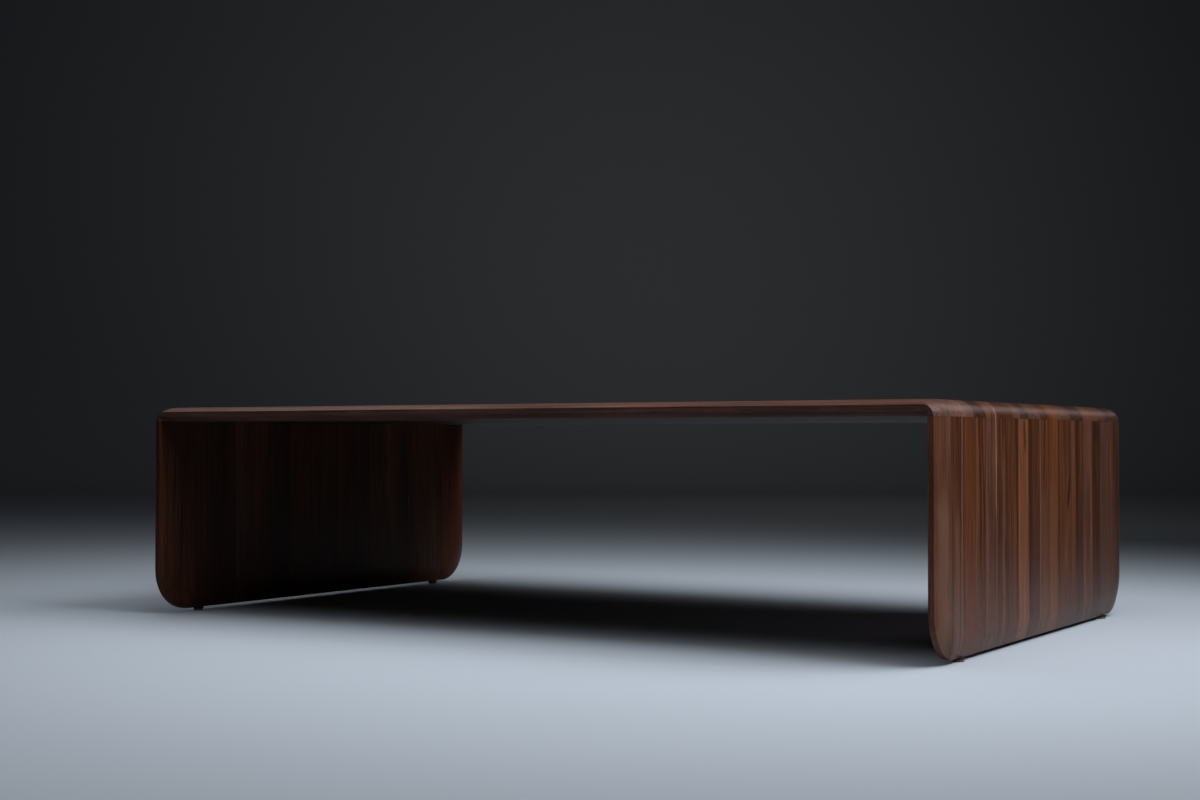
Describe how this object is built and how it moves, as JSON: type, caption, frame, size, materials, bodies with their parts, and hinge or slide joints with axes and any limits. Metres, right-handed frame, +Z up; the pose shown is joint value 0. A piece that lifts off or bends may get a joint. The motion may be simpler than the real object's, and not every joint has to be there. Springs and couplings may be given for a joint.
{
  "type": "coffee table",
  "caption": "Low waterfall coffee table: a thin solid-stave top flows over rounded comb-jointed corners into two full-depth sides with rounded feet corners, on small felt glides.",
  "frame": {"origin": "on the floor, under the middle of the table", "axes": "+X along the length, +Z up; the front, which the picture shows nearest, faces -Y"},
  "size_m": [1.2, 0.75, 0.3],
  "materials": {
    "glide_base_back_left": "moulded, fine satin",
    "glide_base_back_right": "moulded, fine satin",
    "glide_base_front_left": "moulded, fine satin",
    "glide_base_front_right": "moulded, fine satin",
    "glide_felt_back_left": "pressed wool felt",
    "glide_felt_back_right": "pressed wool felt",
    "glide_felt_front_left": "pressed wool felt",
    "glide_felt_front_right": "pressed wool felt",
    "glide_screws": "zinc-plated steel",
    "left_side_stave_01": "solid walnut, satin oil",
    "left_side_stave_02": "solid walnut, satin oil",
    "left_side_stave_03": "solid walnut, satin oil",
    "left_side_stave_04": "solid walnut, satin oil",
    "left_side_stave_05": "solid walnut, satin oil",
    "left_side_stave_06": "solid walnut, satin oil",
    "left_side_stave_07": "solid walnut, satin oil",
    "left_side_stave_08": "solid walnut, satin oil",
    "left_side_stave_09": "solid walnut, satin oil",
    "left_side_stave_10": "solid walnut, satin oil",
    "left_side_stave_11": "solid walnut, satin oil",
    "left_side_stave_12": "solid walnut, satin oil",
    "left_side_stave_13": "solid walnut, satin oil",
    "left_side_stave_14": "solid walnut, satin oil",
    "left_side_stave_15": "solid walnut, satin oil",
    "right_side_stave_01": "solid walnut, satin oil",
    "right_side_stave_02": "solid walnut, satin oil",
    "right_side_stave_03": "solid walnut, satin oil",
    "right_side_stave_04": "solid walnut, satin oil",
    "right_side_stave_05": "solid walnut, satin oil",
    "right_side_stave_06": "solid walnut, satin oil",
    "right_side_stave_07": "solid walnut, satin oil",
    "right_side_stave_08": "solid walnut, satin oil",
    "right_side_stave_09": "solid walnut, satin oil",
    "right_side_stave_10": "solid walnut, satin oil",
    "right_side_stave_11": "solid walnut, satin oil",
    "right_side_stave_12": "solid walnut, satin oil",
    "right_side_stave_13": "solid walnut, satin oil",
    "right_side_stave_14": "solid walnut, satin oil",
    "right_side_stave_15": "solid walnut, satin oil",
    "right_side_stave_16": "solid walnut, satin oil",
    "right_side_stave_17": "solid walnut, satin oil",
    "top_stave_01": "solid walnut, satin oil",
    "top_stave_02": "solid walnut, satin oil",
    "top_stave_03": "solid walnut, satin oil",
    "top_stave_04": "solid walnut, satin oil",
    "top_stave_05": "solid walnut, satin oil",
    "top_stave_06": "solid walnut, satin oil",
    "top_stave_07": "solid walnut, satin oil",
    "top_stave_08": "solid walnut, satin oil",
    "top_stave_09": "solid walnut, satin oil",
    "top_stave_10": "solid walnut, satin oil",
    "top_stave_11": "solid walnut, satin oil",
    "top_stave_12": "solid walnut, satin oil",
    "top_stave_13": "solid walnut, satin oil",
    "top_stave_14": "solid walnut, satin oil"
  },
  "bodies": {
    "root": {"glide_base_back_left": "glide_base_back_left", "glide_base_back_right": "glide_base_back_right", "glide_base_front_left": "glide_base_front_left", "glide_base_front_right": "glide_base_front_right", "glide_felt_back_left": "glide_felt_back_left", "glide_felt_back_right": "glide_felt_back_right", "glide_felt_front_left": "glide_felt_front_left", "glide_felt_front_right": "glide_felt_front_right", "glide_screws": "glide_screws", "left_side_stave_01": "left_side_stave_01", "left_side_stave_02": "left_side_stave_02", "left_side_stave_03": "left_side_stave_03", "left_side_stave_04": "left_side_stave_04", "left_side_stave_05": "left_side_stave_05", "left_side_stave_06": "left_side_stave_06", "left_side_stave_07": "left_side_stave_07", "left_side_stave_08": "left_side_stave_08", "left_side_stave_09": "left_side_stave_09", "left_side_stave_10": "left_side_stave_10", "left_side_stave_11": "left_side_stave_11", "left_side_stave_12": "left_side_stave_12", "left_side_stave_13": "left_side_stave_13", "left_side_stave_14": "left_side_stave_14", "left_side_stave_15": "left_side_stave_15", "right_side_stave_01": "right_side_stave_01", "right_side_stave_02": "right_side_stave_02", "right_side_stave_03": "right_side_stave_03", "right_side_stave_04": "right_side_stave_04", "right_side_stave_05": "right_side_stave_05", "right_side_stave_06": "right_side_stave_06", "right_side_stave_07": "right_side_stave_07", "right_side_stave_08": "right_side_stave_08", "right_side_stave_09": "right_side_stave_09", "right_side_stave_10": "right_side_stave_10", "right_side_stave_11": "right_side_stave_11", "right_side_stave_12": "right_side_stave_12", "right_side_stave_13": "right_side_stave_13", "right_side_stave_14": "right_side_stave_14", "right_side_stave_15": "right_side_stave_15", "right_side_stave_16": "right_side_stave_16", "right_side_stave_17": "right_side_stave_17", "top_stave_01": "top_stave_01", "top_stave_02": "top_stave_02", "top_stave_03": "top_stave_03", "top_stave_04": "top_stave_04", "top_stave_05": "top_stave_05", "top_stave_06": "top_stave_06", "top_stave_07": "top_stave_07", "top_stave_08": "top_stave_08", "top_stave_09": "top_stave_09", "top_stave_10": "top_stave_10", "top_stave_11": "top_stave_11", "top_stave_12": "top_stave_12", "top_stave_13": "top_stave_13", "top_stave_14": "top_stave_14"}
  },
  "joints": []
}
